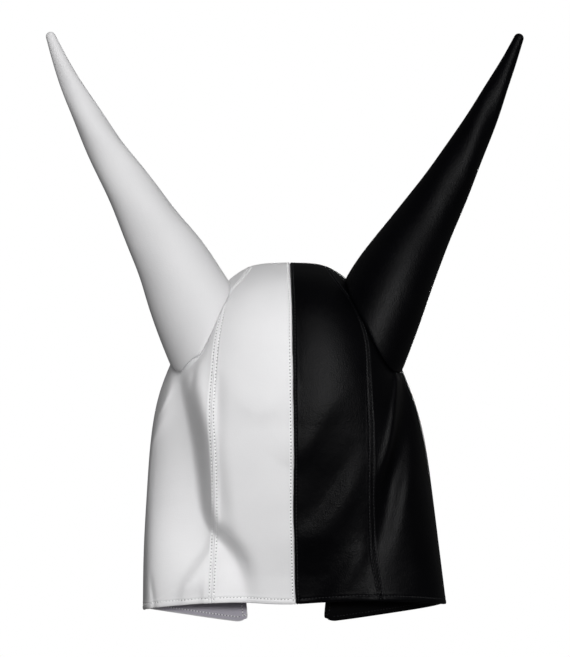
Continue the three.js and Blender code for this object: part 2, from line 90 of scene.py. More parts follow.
# height of the horn's middle line, its distance out on the left and right, forward, left and right diameter
HORN = np.array([
    [-104, 44, 38.5, -46, 72, 68],
    [-74, 58, 52, -44, 73, 70],
    [-45, 71.5, 63.8, -41, 70.5, 69.5],
    [-20, 83.5, 75.2, -36.5, 64.5, 66],
    [4.5, 95.7, 88.2, -31, 56.5, 58.5],
    [28, 109.4, 102.8, -24, 47.6, 49.5],
    [52.5, 124, 117.6, -18.5, 40, 42],
    [100.5, 152, 144, -9, 27.4, 28.6],
    [144, 175, 166, -2.5, 17, 17.4],
    [168, 185.7, 177.2, 1, 11.2, 11.2],
    [184.5, 192.2, 184.4, 3.4, 7.4, 7.6],
])
TIP_RADIUS = 3.6

# ------------------------------------------------------------------ camera, as the picture was taken
VIEW_W, VIEW_H = 570, 657
VIEW_D = 2200.0             # distance, mm
VIEW_TURN = math.radians(2.0)
VIEW_SCALE = 0.8            # mm for a pixel at the object's middle
VIEW_X, VIEW_Z = -4.4, -50.4
VIEW_FWD = np.array([math.sin(VIEW_TURN), math.cos(VIEW_TURN), 0.0])
VIEW_RIGHT = np.array([math.cos(VIEW_TURN), -math.sin(VIEW_TURN), 0.0])
VIEW_AT = np.array([VIEW_X, 0.0, VIEW_Z]) - VIEW_D * VIEW_FWD

# Folds of the leather at the back. A fold runs through places in the view, each with the fold's height
# towards the camera there (minus is into the hood) and its breadth to the left and to the right of the run, in mm.
# The number in front is the power of its section: 2 is round, less is sharper.
FOLDS = {
    # white side
    "strip edge, left": (2.0, [(199, 353, 0.5, 5, 8), (197.5, 368, 2, 5, 8), (198.5, 390, 3, 6, 8), (203, 412, 3, 6, 8), (207, 430, 2.5, 6, 8), (209.5, 452, 1.5, 6, 8), (211.5, 480, 0, 6, 8)]),
    "tuck, left": (2.0, [(175.5, 371, -2, 8, 6), (177.5, 378, -4.5, 12, 8), (179.5, 386, -8.5, 22, 9.5), (181, 396, -13.5, 29, 10.5), (183, 406, -18, 35, 11), (187, 426, -24, 50, 11), (190.5, 446, -28, 56, 11), (193.5, 466, -29.5, 60, 10.5), (196.5, 486, -29, 60, 9), (199, 506, -27, 58, 8.2), (202.5, 521, -24, 52, 8), (208, 532, -19.5, 42, 8.5), (216.5, 541, -17.5, 34, 9.5), (225, 549.5, -16.5, 34, 8.5), (231.5, 558, -15, 34, 8.5), (236, 567, -12.5, 34, 9), (239, 577, -9.5, 34, 9.5), (241.5, 588, -6.5, 34, 10), (244, 606, -4, 34, 11)]),
    "drape, left": (2.0, [(153, 424, 0, 10, 14), (151, 455, 1, 10, 16), (149.5, 495, 1.3, 10, 16), (148.5, 540, 2.2, 10, 18), (148, 570, 3.2, 10, 18), (147.5, 607, 3.8, 10, 18)]),
    "pinch pleat, left": (1.6, [(197, 362, 0, 3, 3), (194, 373, -2.2, 3, 3), (192, 384, -1.5, 3, 3), (191, 394, 0, 3, 3)]),
    "beside seam, left": (2.0, [(219, 366, 0, 4, 5), (218, 386, -1.6, 4, 5), (217.5, 410, -2.6, 4, 5.5), (217, 436, -2, 4, 5), (218, 460, -2.4, 4, 5.5), (219.5, 485, -3.6, 4, 6), (220.5, 505, -4.2, 4, 6.5), (222, 520, -3.6, 4.5, 7), (225, 532, -1.6, 5, 7), (228, 541, 0, 5, 7)]),
    "hem crease, left": (2.0, [(214, 532, 0, 4.5, 12), (213.5, 543, 3, 4.5, 12), (210.5, 553, 5, 4.5, 12), (205, 561.5, 5.4, 4.5, 12), (199, 570, 5.4, 4.5, 12), (192, 579, 5, 4.5, 11), (187, 587, 4.2, 4.5, 10), (184.5, 595, 3, 4.5, 9), (184, 606, 1.4, 4.5, 9)]),
    "hem nick, left": (2.0, [(208, 573, 0, 3.5, 6), (206, 581, 2.2, 3.5, 6), (204.5, 591, 3, 3.5, 6), (204.5, 601, 1.6, 3.5, 6)]),
    "corner fold, left": (1.6, [(150.5, 572, 0, 3, 3), (151.5, 585, -1.6, 3, 3), (153, 597, -2.4, 3, 3), (154, 608, -1.4, 3, 3)]),
    "hem flute, left": (2.0, [(214, 540, 0, 11, 13), (216, 575, 2.0, 12, 14), (218, 606, 3.0, 14, 16)]),
    "horn crease, left": (1.6, [(234, 281, -2, 3, 3.5), (226.5, 296.7, -4, 3, 3.6), (218.5, 310.7, -5, 3, 3.8), (212, 325.9, -5, 3, 3.8), (206, 340, -5, 3, 3.8), (201, 352.4, -4.6, 3, 3.8), (194.5, 362, -4, 3, 4), (186, 369.5, -3, 3, 4), (178, 373, -2.6, 3, 3), (171.5, 368, -1.5, 3, 3)]),
    "crown wrinkle, left": (2.0, [(229, 376, 0, 6, 10), (235, 392, 0.4, 6, 11), (247, 406, 0.6, 6, 12), (262, 411.5, 0.6, 6, 12), (275, 407, 0.7, 6, 11), (284, 397, 0.7, 5, 9), (291, 385, 0.4, 5, 8)]),
    "crown dent, left": (2.0, [(262, 402, 0, 6, 6), (270, 396, -0.5, 7, 7), (280, 384, -0.8, 8, 8), (288, 370, -0.6, 8, 8), (292, 358, 0, 7, 7)]),
    # black side
    "hem flare, right": (2.0, [(326, 609, 0, 10, 15), (344, 608, 1.2, 10, 15), (370, 606, 2, 10, 15), (396, 604, 2, 10, 15), (420, 606, 0, 10, 15)]),
    "strip edge, right": (2.0, [(385, 354, 0.8, 6, 4), (392.5, 363, 3, 5, 3.6), (396, 372, 4.8, 4.6, 3.5), (396.5, 382, 5, 4.5, 3.5), (396, 392, 4.6, 4.5, 3.5), (395, 404, 4.1, 4.5, 3.5), (393.5, 420, 3.6, 4.5, 3.5), (390.8, 438, 3.1, 4.5, 3.5), (387.5, 456, 2.5, 4.5, 3.5), (383.5, 472, 1.6, 4.5, 4), (380, 486, 0, 5, 4)]),
    "tuck, right": (2.0, [(403, 372, -2, 4.5, 12), (403.5, 380, -5, 4.6, 15), (404, 388, -9, 4.7, 18), (404.5, 397, -12, 4.8, 21), (404, 407, -14.5, 4.8, 23), (402, 426, -16, 4.8, 23), (399, 446, -15.4, 4.9, 20.5), (394.5, 466, -12.4, 6, 16.5), (390.5, 486, -9, 8.4, 13), (387.5, 506, -6.4, 9.4, 10.8), (384, 526, -4.6, 10, 9.6), (379, 544, -2.8, 9.5, 9.5), (374, 562, -1.2, 9, 10), (370.5, 578, 0, 8, 10)]),
    "pinch pleat, right": (1.6, [(392, 369, 0, 2.5, 2.5), (393.5, 379, -1.8, 2.5, 2.5), (393, 390, -1.4, 2.5, 2.5), (391.5, 400, 0, 2.5, 2.5)]),
    "drape, right": (2.0, [(412, 420, 0, 8, 9), (410, 455, 1.2, 9, 11), (406, 485, 0.8, 9, 11), (402, 510, 0, 9, 11)]),
    "slant, right": (2.0, [(367, 446, 0, 7, 7), (360, 466, 0.6, 8, 7), (353, 485, 1.2, 9, 8), (344, 505, 1.6, 10, 9), (330, 525, 1.5, 11, 10), (313, 540, 0.8, 11, 11), (298, 550, 0, 10, 10)]),
    "nape swell": (2.0, [(293, 425, 0, 45, 40), (293.5, 458, 3, 45, 40), (294, 500, 4.5, 45, 40), (294.5, 540, 3.5, 45, 40), (295, 578, 0, 45, 40)]),
    "crown hollow, right": (2.0, [(356, 436, 0, 14, 9), (346, 458, -1, 16, 9), (333, 482, -2, 17, 9), (318, 505, -2, 17, 9), (305, 519, -1.4, 15, 9), (293, 529, 0, 14, 9)]),
    "crown bulge, right": (2.0, [(346, 380, 0, 18, 11), (330, 402, 1.5, 20, 12), (315, 425, 3, 22, 12), (303, 445, 3.5, 22, 12), (296, 456, 2.5, 20, 12), (286, 470, 0, 18, 12)]),
    "nape slant, right": (2.0, [(368, 530, 0, 8, 8), (358, 558, 2, 8, 8), (345, 580, 2.5, 9, 9), (330, 600, 2, 10, 10)]),
    "hem flute, right": (2.0, [(373, 540, 0, 15, 12), (374, 570, 2.4, 18, 15), (376, 602, 4.8, 21, 19)]),
    "hem hollow, right": (2.0, [(314, 535, 0, 22, 16), (313, 565, -1.6, 22, 16), (311, 602, -3, 22, 16)]),
    "seam roll, right": (2.0, [(289, 272, 0, 3, 6), (290.5, 296, -0.9, 3, 7), (291.5, 330, -1, 3, 7), (292.5, 362, -0.5, 3, 6), (293, 386, 0, 3, 6)]),
    "horn crease, right": (1.6, [(342, 281, -2, 4, 3), (349, 295, -3, 4.5, 3), (357, 307, -3.4, 5, 3), (364, 318.5, -3.4, 5, 3), (371, 331, -3.4, 5, 3), (377, 342.5, -3.4, 5, 3), (383, 353.5, -3.4, 5, 3), (388.5, 363, -3.4, 5, 3), (396, 371, -3, 4, 3), (401, 370, -1.5, 3, 3)]),
}

# Seams at the back, through places in the view from the hem upwards
SEAM_VIEW = {
    "left": [(211.3, 603), (212.5, 577), (213.9, 548), (214.4, 510), (214.2, 485), (212.9, 450), (211.4, 418), (212.2, 393), (214.2, 366), (217.2, 337), (221.8, 314), (227.5, 296), (236, 285)],
    "right": [(381.2, 600), (377.6, 579), (373.8, 558), (372.3, 530), (371.6, 495), (371.6, 460), (371.2, 425), (369.7, 395), (368.6, 368), (366.8, 342), (361.5, 322), (352.5, 303), (341, 287)],
}
CENTRE_VIEW = [(296.2, 606), (295.3, 590), (294.7, 566), (294.0, 540), (293.5, 510), (293.6, 480), (293.7, 450), (293.3, 415), (292.9, 380), (292.4, 340), (291.9, 306), (290.9, 283)]


# ------------------------------------------------------------------ small tools
def smooth(x, a, b):
    t = np.clip((np.asarray(x, float) - a) / (b - a), 0, 1)
    return t * t * (3 - 2 * t)


def unit(v):
    return v / np.maximum(np.linalg.norm(v, axis=-1, keepdims=True), 1e-12)


def spline(at, value):
    """Natural cubic spline through (at, value), for arrays of places."""
    at, value = np.asarray(at, float), np.asarray(value, float)
    n = len(at)
    a, b = np.eye(n), np.zeros(n)
    for i in range(1, n - 1):
        lo, hi = at[i] - at[i - 1], at[i + 1] - at[i]
        a[i, i - 1], a[i, i], a[i, i + 1] = lo, 2 * (lo + hi), hi
        b[i] = 6 * ((value[i + 1] - value[i]) / hi - (value[i] - value[i - 1]) / lo)
    bend = np.linalg.solve(a, b)

    def f(x):
        x = np.asarray(x, float)
        k = np.clip(np.searchsorted(at[1:-1], x, side="left"), 0, n - 2)
        h = at[k + 1] - at[k]
        p = (at[k + 1] - x) / h
        q = 1 - p
        return p * value[k] + q * value[k + 1] + ((p**3 - p) * bend[k] + (q**3 - q) * bend[k + 1]) * h * h / 6

    return f


# ------------------------------------------------------------------ the hood's surface
mean = LEVELS[:, 1:5].mean(1)
reach = np.concatenate([[0], np.cumsum(np.hypot(np.diff(mean), np.diff(LEVELS[:, 0])))])
RIM = reach[-1] - 0.9       # the turned edge adds the rest
DROP_END = LEVELS[-1, 0]


def level_spline(column, even):
    v = LEVELS[:, column]
    s = 1 if even else -1
    return spline(np.concatenate([-reach[3:0:-1], reach]), np.concatenate([s * v[3:0:-1], v]))


level_drop, level_left, level_right, level_back, level_front, power_left, power_right = (
    level_spline(k, k in (0, 5, 6)) for k in range(7)
)
hem_lower = spline(np.radians(HEM[:, 0]), HEM[:, 1])
_m = np.linspace(0, RIM * 1.05, 6000)
_d = level_drop(_m)


def reach_at(drop):
    return np.interp(drop, _d, _m)


def outline(m, angle):
    m = np.maximum(m, 1e-6)
    left, right, back, front = level_left(m), level_right(m), level_back(m), level_front(m)
    wide = (left + right) / 2 + (right - left) / 2 * np.sin(angle)
    deep = (back + front) / 2 + (back - front) / 2 * np.cos(angle)
    left, right = power_left(m), power_right(m)
    return wide, deep, (left + right) / 2 + (right - left) / 2 * np.sin(angle)


def plain_radius(m, angle):
    wide, deep, power = outline(m, angle)
    return (np.abs(np.sin(angle) / wide) ** power + np.abs(np.cos(angle) / deep) ** power) ** (-1 / power)


def angle_at(m, x, at_back):
    low, high = 0.0, math.pi / 2
    turned = lambda t: math.copysign(1, x) * (t if at_back else math.pi - t)
    for _ in range(50):
        middle = (low + high) / 2
        a = turned(middle)
        if plain_radius(m, a) * abs(math.sin(a)) < abs(x):
            low = middle
        else:
            high = middle
    return turned((low + high) / 2)


def plain(p):
    """Points of the unfolded hood for places on the map, (..., 2) to (..., 3)."""
    m, angle = np.hypot(p[..., 0], p[..., 1]), np.arctan2(p[..., 0], -p[..., 1])
    r, drop = plain_radius(m, angle), level_drop(m)
    sunk = hem_lower(angle) * smooth(drop, LOWER_FROM, DROP_END)
    return np.stack([r * np.sin(angle), -r * np.cos(angle), CROWN_TOP - drop - sunk], -1)


def slopes(p, e=0.4):
    ex, ey = np.array([e, 0.0]), np.array([0.0, e])
    return (plain(p + ex) - plain(p - ex)) / (2 * e), (plain(p + ey) - plain(p - ey)) / (2 * e)


def plain_normal(p):
    a, b = slopes(p)
    return unit(np.cross(a, b))


def on_map(m, angle):
    return np.stack(np.broadcast_arrays(m * np.sin(angle), -m * np.cos(angle)), -1)


def place_in_view(px, py):
    """The place on the map that the camera sees at a pixel."""
    y = -90.0
    for _ in range(40):
        d = VIEW_D + y
        x = VIEW_X + (px - 285) * VIEW_SCALE * d / VIEW_D + y * math.tan(VIEW_TURN)
        z = VIEW_Z - (py - 328.5) * VIEW_SCALE * d / VIEW_D
        drop, angle = CROWN_TOP - z, math.atan2(x, -y)
        for _ in range(8):
            drop = CROWN_TOP - z - float(hem_lower(angle) * smooth(drop, LOWER_FROM, DROP_END))
        m = float(reach_at(drop))
        wide, deep, power = outline(m, angle)
        share = min(abs(x) / float(wide), 0.999)
        y = 0.5 * y - 0.5 * float(deep) * (1 - share ** float(power)) ** (1 / float(power))
    return on_map(m, math.atan2(x, -y))


class Fold:
    def __init__(self, power, rows):
        self.power = power
        places = np.array([place_in_view(r[0], r[1]) for r in rows])
        at = np.concatenate([[0], np.cumsum(np.linalg.norm(np.diff(plain(places), axis=0), axis=1))])
        t = np.linspace(0, at[-1], max(24, int(at[-1] / 1.5)))
        route = np.stack([spline(at, places[:, 0])(t), spline(at, places[:, 1])(t)], -1)
        self.points = plain(route)
        self.across = unit(np.cross(unit(np.gradient(self.points, axis=0)), plain_normal(route)))
        even = lambda column: np.convolve(np.pad(np.interp(t, at, [r[column] for r in rows]), 6, mode="edge"), np.hanning(13) / np.hanning(13).sum(), mode="valid")
        self.height, self.left, self.right = even(2), even(3), even(4)
        far = 3 * max(self.left.max(), self.right.max())
        self.low, self.high = self.points.min(0) - far, self.points.max(0) + far

    def add(self, points, out):
        near = np.nonzero(np.all((points > self.low) & (points < self.high), axis=1))[0]
        for chunk in np.array_split(near, max(1, len(near) // 6000)):
            q = points[chunk]
            d2 = ((q[:, None, :] - self.points[None]) ** 2).sum(-1)
            k = d2.argmin(1)
            d = np.sqrt(d2[np.arange(len(k)), k])
            # height and breadths are blended over the samples round the nearest one
            some = np.clip(k[:, None] + np.arange(-5, 6), 0, len(self.points) - 1)
            share = np.exp(-(np.take_along_axis(d2, some, 1) - (d * d)[:, None]) / 10)
            share /= share.sum(1, keepdims=True)
            blend = lambda v: (v[some] * share).sum(1)
            # the runs go down the wall, so that their across points to the left in the view
            side = ((q - self.points[k]) * self.across[k]).sum(-1)
            right, left = blend(self.right), blend(self.left)
            w = right + (left - right) * smooth(side, -1.2, 1.2)
            out[chunk] += blend(self.height) * np.exp(-((d / w) ** self.power))



folds = [Fold(*f) for f in FOLDS.values()]


def fold_height(points):
    flat = points.reshape(-1, 3)
    out = np.zeros(len(flat))
    for f in folds:
        f.add(flat, out)
    return out.reshape(points.shape[:-1])


def at_back(n):
    """1 where the plain wall faces the back, falling to 0 at the sides."""
    return smooth(-n[..., 1], -0.15, 0.24)


def leather(p):
    """Points and plain normals of the folded leather's outer face."""
    base, n = plain(p), plain_normal(p)
    depth = fold_height(base) * at_back(n)
    return base - depth[..., None] * np.array([0.0, 1.0, 0.0]), n


# ------------------------------------------------------------------ seams and edges on the map
def map_curve(places):
    places = np.asarray(places)
    at = np.concatenate([[0], np.cumsum(np.linalg.norm(np.diff(places, axis=0), axis=1))])
    x, y = spline(at, places[:, 0]), spline(at, places[:, 1])
    return lambda share: np.stack([x(np.asarray(share) * at[-1]), y(np.asarray(share) * at[-1])], -1)


def beside(p, run, d):
    """Places at a distance d across the leather from a line on the map, on the right of its run."""
    a, b = slopes(p)
    g11, g12, g22 = (a * a).sum(-1), (a * b).sum(-1), (b * b).sum(-1)
    tx, ty = g11 * run[..., 0] + g12 * run[..., 1], g12 * run[..., 0] + g22 * run[..., 1]
    n = np.stack([ty, -tx], -1)
    size = np.sqrt(g11 * n[..., 0] ** 2 + 2 * g12 * n[..., 0] * n[..., 1] + g22 * n[..., 1] ** 2)
    return p + n * (d / size)[..., None]


def see(points):
    """Pixels at which the camera sees points."""
    r = points - VIEW_AT
    d = r @ VIEW_FWD
    return np.stack([285 + r @ VIEW_RIGHT / VIEW_SCALE * VIEW_D / d, 328.5 - r[..., 2] / VIEW_SCALE * VIEW_D / d], -1)


def places_seen(pixels):
    """Places on the map where the camera sees the folded leather at pixels."""
    pixels = np.asarray(pixels, float)
    p = np.array([place_in_view(*q) for q in pixels])
    e = 0.5
    for _ in range(14):
        miss = see(leather(p)[0]) - pixels
        jx = (see(leather(p + [e, 0])[0]) - see(leather(p - [e, 0])[0])) / (2 * e)
        jy = (see(leather(p + [0, e])[0]) - see(leather(p - [0, e])[0])) / (2 * e)
        step = np.linalg.solve(np.stack([jx, jy], -1), miss[..., None])[..., 0]
        p = p - 0.7 * step * np.minimum(1, 4 / np.maximum(np.linalg.norm(step, axis=1, keepdims=True), 1e-9))
    return p


class Line:
    """A sewn line on the map that runs from the nape over the crown to the forehead."""

    def __init__(self, places, sign):
        self.sign = sign
        self.seam = map_curve(places)
        self._share = np.linspace(0, 1, 4000)
        self._y = np.maximum.accumulate(self.seam(self._share)[:, 1])

    def seam_at(self, y):
        return np.interp(y, self._y, self._share)

    def seam_beside(self, share, d):
        """Seam moved outwards by d mm, or inwards for a minus."""
        share = np.asarray(share, float)
        run = self.seam(share + 0.001) - self.seam(share - 0.001)
        return beside(self.seam(share), run, np.full(share.shape, d * self.sign))


class Side(Line):
    def __init__(self, name, sign):
        self.name = name
        column = 2 if name == "left" else 3
        places = list(places_seen(SEAM_VIEW[name]))
        places[0] = places[0] * RIM / np.hypot(*places[0])
        for row in SEAM:
            if row[0] != "back":
                m = float(reach_at(row[1]))
                angle = sign * math.pi / 2 if row[0] == "top" else angle_at(m, sign * row[column], False)
                places.append(on_map(m, angle))
        Line.__init__(self, places, sign)
        self.edge = map_curve([places[-1]] + [on_map(float(reach_at(d)), angle_at(float(reach_at(d)), sign * h, False)) for d, h in FACE])
        self.flap_angle = angle_at(RIM, sign * FACE[-1][1], False)


sides = {"left": Side("left", -1), "right": Side("right", 1)}
FRONT = float(reach_at(FOREHEAD_DROP))
_centre = list(places_seen(CENTRE_VIEW))
_centre[0] = _centre[0] * RIM / np.hypot(*_centre[0])
_centre += [np.array([-0.6, 0.0]), np.array([-0.2, 45.0]), np.array([0.0, 85.0]), np.array([0.0, FRONT])]
centre = Line(_centre, 1)


def patch(top, bottom, first, last, u, v):
    t, b, f, l = top(v), bottom(v), first(u), last(u)
    U, V = u[:, None, None], v[None, :, None]
    p = (1 - U) * t[None] + U * b[None] + (1 - V) * f[:, None] + V * l[:, None]
    return p - (1 - U) * (1 - V) * t[0] - (1 - U) * V * t[-1] - U * (1 - V) * b[0] - U * V * b[-1]


def graded(length, coarse, fine=0.35, zone=4.2, ends=(True, True), middle=None):
    """Shares of a length, fine near its ends. middle takes the coarse stretch's own spacing."""
    ramp = [0.0]
    while ramp[-1] < zone:
        ramp.append(ramp[-1] + fine)
    step = fine
    while step < coarse:
        step *= 1.3
        ramp.append(ramp[-1] + step)
    ramp = np.array(ramp)
    a = ramp if ends[0] else np.array([0.0])
    b = length - ramp[::-1] if ends[1] else np.array([length])
    if middle is None:
        n = max(1, round((b[0] - a[-1]) / coarse))
        inner = np.linspace(a[-1], b[0], n + 1)[1:-1]
    else:
        inner = middle(a[-1], b[0])
    return np.concatenate([a, inner, b]) / length


def grid_normals(p, flip):
    n = unit(np.cross(np.gradient(p, axis=0), np.gradient(p, axis=1)))
    return -n if flip else n


def distance_to(points, line):
    """How far each point is from a line of close points, within 12 mm."""
    flat = points.reshape(-1, 3)
    out = np.full(len(flat), 12.0)
    run = unit(np.gradient(line, axis=0))
    near = np.nonzero(np.all((flat > line.min(0) - 12) & (flat < line.max(0) + 12), axis=1))[0]
    coarse = line[::12]
    for chunk in np.array_split(near, max(1, len(near) // 5000)):
        d2 = ((flat[chunk][:, None] - coarse[None]) ** 2).sum(-1).min(1)
        close = chunk[d2 < 18.0**2]
        for part in np.array_split(close, max(1, len(close) // 1500)):
            if not len(part):
                continue
            q = flat[part]
            k = ((q[:, None].astype(np.float32) - line[None].astype(np.float32)) ** 2).sum(-1).argmin(1)
            r = q - line[k]
            along = (r * run[k]).sum(-1)
            inside = (k > 0) & (k < len(line) - 1)
            r = np.where(inside[:, None], r - along[:, None] * run[k], r)
            out[part] = np.minimum(out[part], np.linalg.norm(r, axis=1))
    return out.reshape(points.shape[:-1])


def resample(line, step):
    at = np.concatenate([[0], np.cumsum(np.linalg.norm(np.diff(line, axis=0), axis=1))])
    t = np.linspace(0, at[-1], max(2, int(at[-1] / step) + 1))
    return np.stack([np.interp(t, at, line[:, k]) for k in range(line.shape[1])], -1)


def bell(d, at, width):
    return np.exp(-(((d - at) / width) ** 2))


SEAM_ROW, CENTRE_ROW, EDGE_ROW = 1.85, 2.1, 3.1     # stitch rows, from the seam or the edge
ROW_DEEP = -0.26


def seam_relief(d):
    """Height of the leather beside a sewn and topstitched seam: a padded ridge between two stitch rows."""
    return 0.42 * bell(d, 0, 1.0) - 0.42 * bell(d, 0, 0.28) - 0.42 * bell(d, SEAM_ROW, 0.6) + 0.12 * bell(d, 3.3, 1.0)


def centre_relief(d):
    """The same for the centre seam, whose edges roll in."""
    return -1.0 * bell(d, 0, 0.5) + 0.22 * bell(d, 1.0, 0.6) - 0.40 * bell(d, CENTRE_ROW, 0.55) + 0.10 * bell(d, 3.4, 1.0)


def edge_relief(d):
    """Height of the leather beside a turned and stitched edge."""
    return 0.22 * bell(d, 1.3, 1.2) - 0.28 * bell(d, EDGE_ROW, 0.6) + 0.14 * bell(d, 4.6, 1.0)


# ------------------------------------------------------------------ Blender meshes
def mesh_object(name, points, faces, smooth_shading=True, uv=None, face_material=None):
    mesh = bpy.data.meshes.new(name)
    faces = np.asarray(faces, np.int32)
    k = faces.shape[1]
    mesh.vertices.add(len(points))
    mesh.vertices.foreach_set("co", (np.asarray(points, float) * MM).astype(np.float32).ravel())
    mesh.loops.add(faces.size)
    mesh.loops.foreach_set("vertex_index", faces.ravel())
    mesh.polygons.add(len(faces))
    mesh.polygons.foreach_set("loop_start", np.arange(0, faces.size, k, dtype=np.int32))
    mesh.polygons.foreach_set("loop_total", np.full(len(faces), k, np.int32))
    if face_material is not None:
        mesh.polygons.foreach_set("material_index", np.asarray(face_material, np.int32))
    mesh.update(calc_edges=True)
    if smooth_shading:
        mesh.polygons.foreach_set("use_smooth", np.ones(len(faces), bool))
    if uv is not None:
        layer = mesh.uv_layers.new(name="UVMap")
        layer.data.foreach_set("uv", np.asarray(uv, np.float32)[faces.ravel()].ravel())
    mesh.validate()
    obj = bpy.data.objects.new(name, mesh)
    bpy.context.collection.objects.link(obj)
    return obj


RIM_STEPS = 5


def panel_mesh(name, outer, inner, normal, flip, open_edges, place):
    """Closed leather wall: outer and inner grids joined by a rim, which is round along the open edges.
    open_edges says which of the sides first row, last row, first column and last column are open."""
    rows, cols = outer.shape[:2]
    size = rows * cols
    ids = np.arange(size).reshape(rows, cols)
    loop = [(0, j) for j in range(cols - 1)] + [(i, cols - 1) for i in range(rows - 1)]
    loop += [(rows - 1, j) for j in range(cols - 1, 0, -1)] + [(i, 0) for i in range(rows - 1, 0, -1)]
    loop = np.array(loop)
    li, lj = loop[:, 0], loop[:, 1]
    ii, jj = np.clip(li, 1, rows - 2), np.clip(lj, 1, cols - 2)
    out = np.zeros((len(loop), 3))
    weight = np.zeros(len(loop))
    for k, (at, ni, nj) in enumerate(((li == 0, 1, None), (li == rows - 1, rows - 2, None), (lj == 0, None, 1), (lj == cols - 1, None, cols - 2))):
        a = np.full(len(loop), ni) if ni is not None else li
        b = np.full(len(loop), nj) if nj is not None else lj
        out[at] += unit(outer[li, lj] - outer[a, b])[at] * (1.0 if open_edges[k] else 1e-3)
        weight[at] = np.maximum(weight[at], 1.0 if open_edges[k] else 0.0)
        # a corner that is sewn on one side stays flush with the seam
    n = normal[li, lj]
    out = unit(out - (out * n).sum(-1, keepdims=True) * n)
    o, i_ = outer[li, lj], inner[li, lj]
    middle, half = (o + i_) / 2, (o - i_) / 2
    reach_out = np.linalg.norm(half, axis=1, keepdims=True) * weight[:, None] * 0.9
    rim = []
    for s in range(1, RIM_STEPS):
        t = math.pi * s / RIM_STEPS
        rim.append(middle + half * math.cos(t) + out * reach_out * math.sin(t))
    points = np.concatenate([outer.reshape(-1, 3), inner.reshape(-1, 3)] + rim)
    flat = place.reshape(-1, 2) / RIM * 0.5 + 0.5
    uv = np.concatenate([flat, flat] + [flat[ids[li, lj]]] * (RIM_STEPS - 1))
    quads = np.stack([ids[:-1, :-1], ids[1:, :-1], ids[1:, 1:], ids[:-1, 1:]], -1).reshape(-1, 4)
    lining = quads[:, ::-1] + size
    rings = [ids[li, lj]] + [2 * size + s * len(loop) + np.arange(len(loop)) for s in range(RIM_STEPS - 1)] + [ids[li, lj] + size]
    edge = []
    for a, b in zip(rings[:-1], rings[1:]):
        edge.append(np.stack([a, b, np.roll(b, -1), np.roll(a, -1)], -1))
    edge = np.concatenate(edge)[:, ::-1]
    faces = np.concatenate([quads, lining, edge])
    material = np.concatenate([np.zeros(len(quads)), np.ones(len(lining)), np.zeros(len(edge))])
    if flip:
        faces = faces[:, ::-1]
    return mesh_object(name, points, faces, uv=uv, face_material=material)


# ------------------------------------------------------------------ materials
def node(tree, kind, **values):
    n = tree.nodes.new(kind)
    for key, value in values.items():
        if key.startswith("in_"):
            n.inputs[key[3:].replace("_", " ")].default_value = value
        else:
            setattr(n, key, value)
    return n


def new_material(name):
    mat = bpy.data.materials.new(name)
    mat.use_nodes = True
    tree = mat.node_tree
    tree.nodes.clear()
    out = node(tree, "ShaderNodeOutputMaterial")
    bsdf = node(tree, "ShaderNodeBsdfPrincipled")
    tree.links.new(bsdf.outputs[0], out.inputs[0])
    where = node(tree, "ShaderNodeTexCoord")
    return mat, tree, bsdf, where.outputs["Object"]


def ramp(tree, source, stops):
    r = node(tree, "ShaderNodeValToRGB")
    while len(r.color_ramp.elements) < len(stops):
        r.color_ramp.elements.new(0.5)
    for e, (at, colour) in zip(r.color_ramp.elements, stops):
        e.position, e.color = at, (*colour, 1.0)
    tree.links.new(source, r.inputs[0])
    return r.outputs[0]


def spread(tree, source, low, high):
    r = node(tree, "ShaderNodeMapRange")
    r.inputs["To Min"].default_value, r.inputs["To Max"].default_value = low, high
    tree.links.new(source, r.inputs["Value"])
    return r.outputs[0]


def texture(tree, kind, where, **values):
    n = node(tree, kind, **values)
    tree.links.new(where, n.inputs["Vector"])
    return n


def leather_material(name, dark, pale, rough, grain, specular):
    """Fine-grained coated leather: small cells with creases between them, soft cloudy colour and gloss."""
    mat, tree, bsdf, where = new_material(name)
    cloud = texture(tree, "ShaderNodeTexNoise", where, in_Scale=22.0, in_Detail=4.0, in_Roughness=0.55)
    tree.links.new(ramp(tree, cloud.outputs["Fac"], [(0.3, dark), (0.7, pale)]), bsdf.inputs["Base Color"])
    patchy = texture(tree, "ShaderNodeTexNoise", where, in_Scale=70.0, in_Detail=3.0)
    tree.links.new(spread(tree, patchy.outputs["Fac"], rough - 0.05, rough + 0.05), bsdf.inputs["Roughness"])
    cells = texture(tree, "ShaderNodeTexVoronoi", where, in_Scale=950.0)
    fine = texture(tree, "ShaderNodeTexNoise", where, in_Scale=1900.0, in_Detail=2.0)
    wide = texture(tree, "ShaderNodeTexNoise", where, in_Scale=160.0, in_Detail=3.0)
    first = node(tree, "ShaderNodeBump", in_Strength=grain, in_Distance=0.00022)
    second = node(tree, "ShaderNodeBump", in_Strength=grain * 0.8, in_Distance=0.00012)
    third = node(tree, "ShaderNodeBump", in_Strength=grain * 0.5, in_Distance=0.0006)
    tree.links.new(wide.outputs["Fac"], third.inputs["Height"])
    tree.links.new(cells.outputs["Distance"], first.inputs["Height"])
    tree.links.new(third.outputs[0], first.inputs["Normal"])
    tree.links.new(fine.outputs["Fac"], second.inputs["Height"])
    tree.links.new(first.outputs[0], second.inputs["Normal"])
    tree.links.new(second.outputs[0], bsdf.inputs["Normal"])
    bsdf.inputs["Specular IOR Level"].default_value = specular
    return mat


